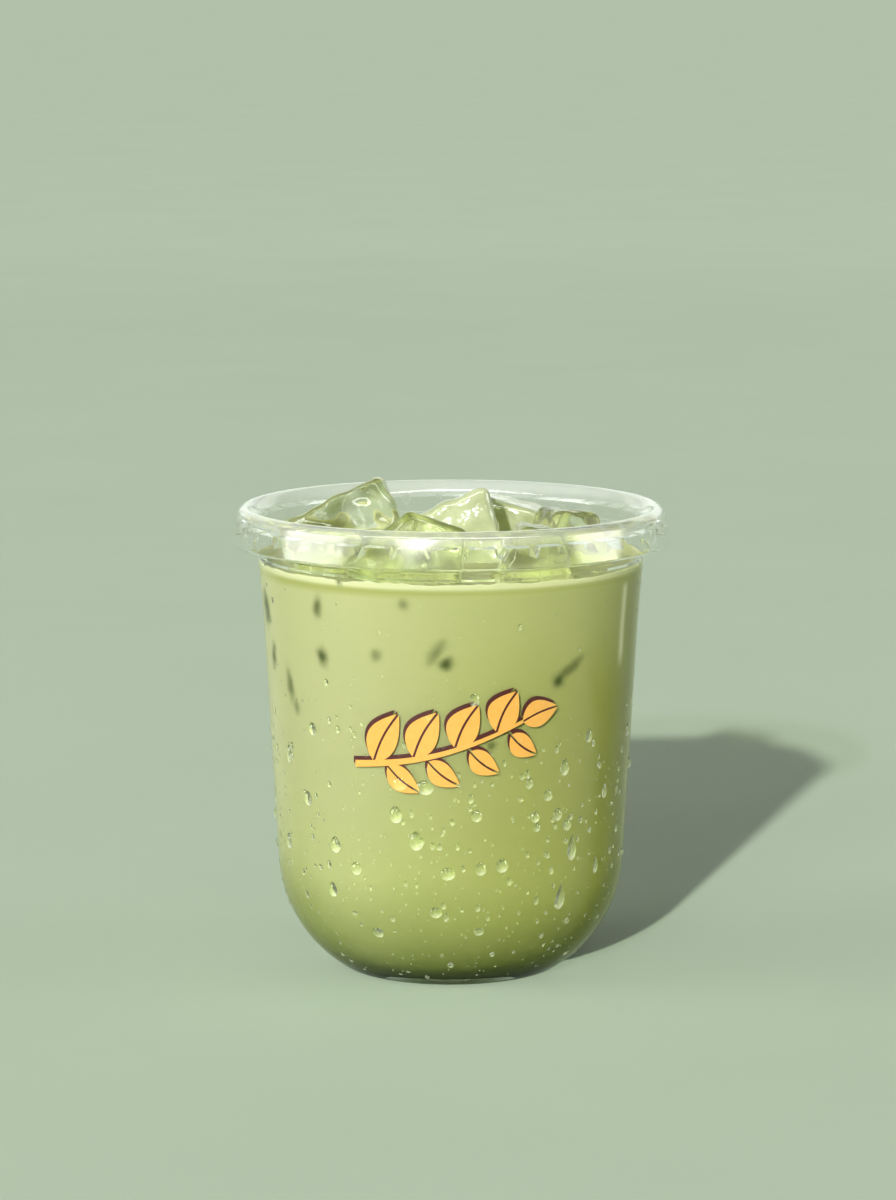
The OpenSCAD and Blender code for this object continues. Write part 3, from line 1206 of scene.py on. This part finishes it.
def aim(lamp, azimuth, elevation, distance):
    """Points a lamp at the cup's middle. The azimuth, in degrees, runs from the printed front
    towards +X."""
    a = math.radians(azimuth)
    e = math.radians(elevation)
    away = Vector((math.sin(a) * math.cos(e), -math.cos(a) * math.cos(e), math.sin(e)))
    lamp.location = LAMP_TARGET + away * distance
    lamp.rotation_euler = away.to_track_quat("Z", "Y").to_euler()
    bpy.context.scene.collection.objects.link(lamp)


def softbox(name, azimuth, elevation, distance, width, height, radiance):
    data = bpy.data.lights.new(name, "AREA")
    data.shape = "RECTANGLE"
    data.size = width
    data.size_y = height
    data.energy = radiance * math.pi * width * height
    lamp = bpy.data.objects.new(name, data)
    aim(lamp, azimuth, elevation, distance)
    return lamp


def reflected_card(*place):
    """A card that is seen only as a gleam on shiny faces."""
    card = softbox(*place)
    card.data.shape = "ELLIPSE"
    card.visible_camera = False
    card.visible_diffuse = False
    card.visible_transmission = False


def make_key_light():
    key = bpy.data.lights.new("key", "SUN")
    key.energy = SUN_ENERGY
    key.angle = SUN_WIDTH
    aim(bpy.data.objects.new("key", key), *SUN_PLACE)


def make_lamps():
    for name, azimuth, elevation, distance, width, height, radiance in SOFT_EDGED_BOXES:
        for i, share in enumerate(BOX_SHARES):
            size = (width * share, height * share)
            part = radiance / len(BOX_SHARES)
            softbox(f"{name}_{i}", azimuth, elevation, distance, *size, part)
    for i, share in enumerate(CARD_SHARES):
        for name, azimuth, elevation, distance, width, height, radiance in SOFT_EDGED_CARDS:
            size = (width * share, height * share)
            reflected_card(f"{name}_{i}", azimuth, elevation, distance, *size, radiance)
    for card in PLAIN_CARDS:
        reflected_card(*card)


def make_world():
    """The backdrop's colour as seen and reflected, but a dimmer white light on dull faces."""
    world = bpy.data.worlds.new("studio")
    bpy.context.scene.world = world
    world.use_nodes = True
    tree = world.node_tree
    seen = tree.nodes["Background"]
    seen.inputs["Color"].default_value = (*BACKDROP, 1)
    fill = tree.nodes.new("ShaderNodeBackground")
    fill.inputs["Color"].default_value = (1.0, 1.0, 1.0, 1)
    fill.inputs["Strength"].default_value = FILL_STRENGTH
    path = tree.nodes.new("ShaderNodeLightPath")
    mix = tree.nodes.new("ShaderNodeMixShader")
    tree.links.new(path.outputs["Is Diffuse Ray"], mix.inputs[0])
    tree.links.new(seen.outputs[0], mix.inputs[1])
    tree.links.new(fill.outputs[0], mix.inputs[2])
    tree.links.new(mix.outputs[0], tree.nodes["World Output"].inputs["Surface"])


def make_camera():
    """A long lens a little above the rim, tilted down at the cup."""
    data = bpy.data.cameras.new("camera")
    data.sensor_fit = "VERTICAL"
    data.sensor_height = CAMERA_SENSOR
    data.lens = CAMERA_LENS
    data.clip_end = CAMERA_CLIP
    camera = bpy.data.objects.new("camera", data)
    camera.location = CAMERA_PLACE
    camera.rotation_euler = (math.pi / 2 - CAMERA_DOWN, 0, 0)
    bpy.context.scene.collection.objects.link(camera)
    bpy.context.scene.camera = camera


def set_view():
    """A plain view transform, and enough bounces for light to pass the cup, ice and drops."""
    scene = bpy.context.scene
    scene.view_settings.view_transform = "Standard"
    scene.view_settings.look = "None"
    scene.cycles.max_bounces = 32
    scene.cycles.transmission_bounces = 32
    scene.cycles.glossy_bounces = 24
    scene.cycles.transparent_max_bounces = 16
    scene.cycles.sample_clamp_indirect = 6.0
    scene.cycles.blur_glossy = 0.6


# Node, material, slot, seed of its hollows, and how deeply it has melted in millimetres
CLEAR_ICE = ice_material()
MILKY_ICE = milky_ice_material()
ICE = [
    ("ice_left", CLEAR_ICE, "ice", 7, 1.6),
    ("ice_front", CLEAR_ICE, "ice", 2, 1.2),
    ("ice_back", MILKY_ICE, "milky_ice", 3, 1.2),
    ("ice_saddle", MILKY_ICE, "milky_ice", 4, 1.2),
    ("ice_right", CLEAR_ICE, "ice", 5, 1.3),
    ("ice_corner", CLEAR_ICE, "ice", 6, 1.2),
]


make_camera()
set_view()
make_key_light()
make_lamps()
make_world()
make_floor()
make_cup()
make_latte([make_ice(*piece) for piece in ICE])
make_print()
make_drops()
